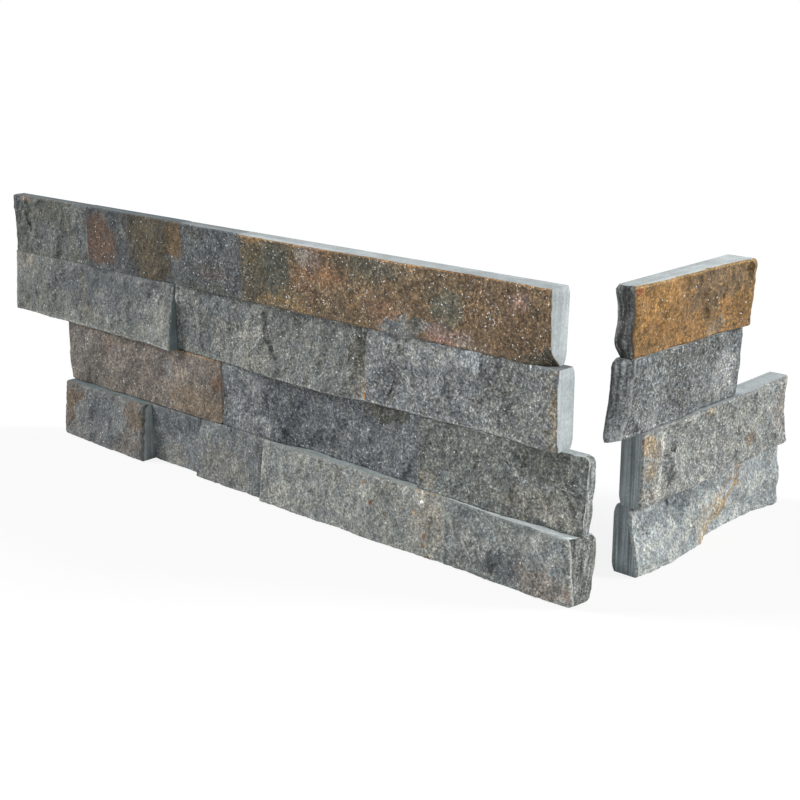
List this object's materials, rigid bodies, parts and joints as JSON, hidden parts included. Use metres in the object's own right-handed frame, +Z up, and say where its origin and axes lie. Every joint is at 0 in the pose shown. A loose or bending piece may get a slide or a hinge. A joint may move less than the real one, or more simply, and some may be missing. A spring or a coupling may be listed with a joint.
{
  "type": "stone cladding corner piece",
  "caption": "Interlocking long and short ledger panels of split quartzite whose stepped rows finger together to clad an outside wall corner.",
  "frame": {"origin": "middle of the footprint of the pair, on the floor that both panels stand on", "axes": "+X along the long panel towards the corner, +Y from its split face to its back, +Z up; the return's split face looks along +X"},
  "size_m": [0.4708, 0.2004, 0.1508],
  "materials": {
    "grey_green": "split quartzite, grey-green",
    "blue_grey": "split quartzite, blue-grey",
    "dark_green_grey": "split quartzite, dark green-grey",
    "rust_patched": "split quartzite, grey with rust patches",
    "rust_brown": "split quartzite, rust-brown",
    "taupe": "split quartzite, taupe",
    "golden_brown": "split quartzite, golden brown",
    "beige_grey": "split quartzite, beige-grey",
    "pale_blue_grey": "split quartzite, pale blue-grey"
  },
  "bodies": {
    "root": {"long_row1_a": "grey_green", "long_row1_b": "rust_patched", "long_row1_c": "blue_grey", "long_row1_d": "rust_brown", "long_row2_a": "grey_green", "long_row2_b": "grey_green", "long_row2_c": "blue_grey", "long_row3_a": "taupe", "long_row3_b": "blue_grey", "long_row3_c": "dark_green_grey", "long_row4_a": "taupe", "long_row4_b": "blue_grey", "long_row4_c": "blue_grey", "long_row4_d": "grey_green", "long_row4_e": "blue_grey", "return_row1": "golden_brown", "return_row2": "blue_grey", "return_row3": "beige_grey", "return_row4": "pale_blue_grey"}
  },
  "joints": []
}
